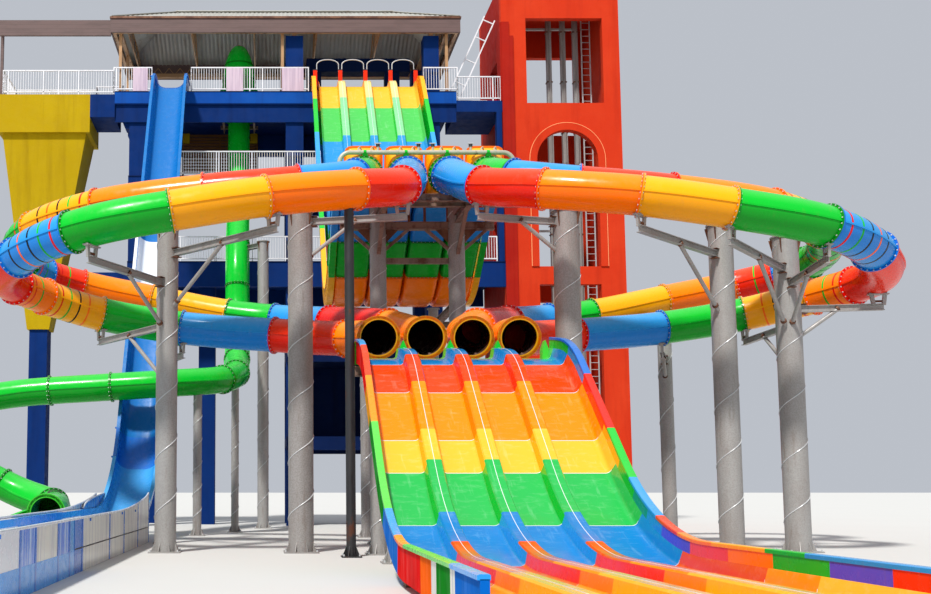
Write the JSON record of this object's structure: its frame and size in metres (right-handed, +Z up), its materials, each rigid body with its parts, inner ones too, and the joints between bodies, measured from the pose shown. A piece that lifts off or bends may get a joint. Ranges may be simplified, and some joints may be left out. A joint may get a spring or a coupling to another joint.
{
  "type": "water slide tower",
  "caption": "Launch tower with a roofed deck, access shaft and pedestal, carrying a lane racer with looping enclosed tubes, a steep open chute and a capsule slide.",
  "frame": {"origin": "middle of the bounding box's footprint, on the ground", "axes": "+Z up; the visitor stands at -Y, the tower is at +Y, +X is the visitor's right"},
  "size_m": [28.886, 39.7, 24.7],
  "materials": {
    "blue_concrete": "blue masonry paint, weathered",
    "dark_concrete": "dark blue masonry paint",
    "red_render": "red-orange rendered wall",
    "yellow_render": "yellow rendered wall",
    "roof_metal": "corrugated roof sheet",
    "fascia_metal": "brown-grey fascia sheet",
    "tan_steel": "tan painted steel",
    "white_steel": "white painted railing",
    "galvanised_steel": "galvanised spiral-welded pipe",
    "brown_steel": "weathered primer",
    "pipe_steel": "pale grey water pipe",
    "red_laminate": "glossy glass-fibre laminate",
    "orange_laminate": "glossy glass-fibre laminate",
    "yellow_laminate": "glossy glass-fibre laminate",
    "green_laminate": "glossy glass-fibre laminate",
    "blue_laminate": "glossy glass-fibre laminate",
    "white_laminate": "glossy glass-fibre laminate",
    "clear_laminate": "translucent splash panel"
  },
  "bodies": {
    "root": {"left_frame": "blue_concrete", "middle_frame": "blue_concrete", "right_frame": "blue_concrete", "top_deck": "blue_concrete", "gallery_floor_4": "blue_concrete", "gallery_floor_3": "blue_concrete", "stair_core": "dark_concrete", "upper_portal": "dark_concrete", "roof_sheet": "roof_metal", "roof_fascia": "fascia_metal", "roof_frame": "tan_steel", "left_rail": "white_steel", "middle_rail": "white_steel", "right_rail": "white_steel", "back_rail": "white_steel", "gallery_rail_4": "white_steel", "gallery_rail_3": "white_steel", "shaft_front_wall": "red_render", "shaft_back_wall": "red_render", "shaft_left_wall": "red_render", "shaft_right_wall": "red_render", "lift_guides": "galvanised_steel", "roof_ladder": "white_steel", "pedestal_head": "yellow_render", "pedestal_column": "blue_concrete", "launch_flume": "green_laminate", "final_flume": "orange_laminate", "final_run_out": "orange_laminate", "lane_1_mouth_tube": "orange_laminate", "lane_2_mouth_tube": "orange_laminate", "lane_3_mouth_tube": "orange_laminate", "lane_4_mouth_tube": "orange_laminate", "lane_1_outward_tube": "orange_laminate", "lane_1_return_tube": "orange_laminate", "lane_2_outward_tube": "red_laminate", "lane_2_return_tube": "red_laminate", "lane_3_outward_tube": "red_laminate", "lane_3_return_tube": "red_laminate", "lane_4_outward_tube": "orange_laminate", "lane_4_return_tube": "orange_laminate", "water_pipe": "pipe_steel", "free_fall_chute": "blue_laminate", "rocket_capsule": "green_laminate", "drop_tube": "green_laminate", "long_tube": "green_laminate", "lower_tube": "green_laminate", "green_trough": "green_laminate", "left_outer_column": "galvanised_steel", "right_inner_column": "galvanised_steel", "right_outer_column": "galvanised_steel", "right_middle_column": "galvanised_steel", "left_middle_column": "galvanised_steel", "left_slim_column": "galvanised_steel", "left_rear_column": "galvanised_steel", "right_rear_column": "galvanised_steel", "drop_column": "galvanised_steel", "elbow_column": "galvanised_steel", "turn_column": "galvanised_steel", "launch_trestle": "brown_steel", "final_trestle": "brown_steel"}
  },
  "joints": []
}
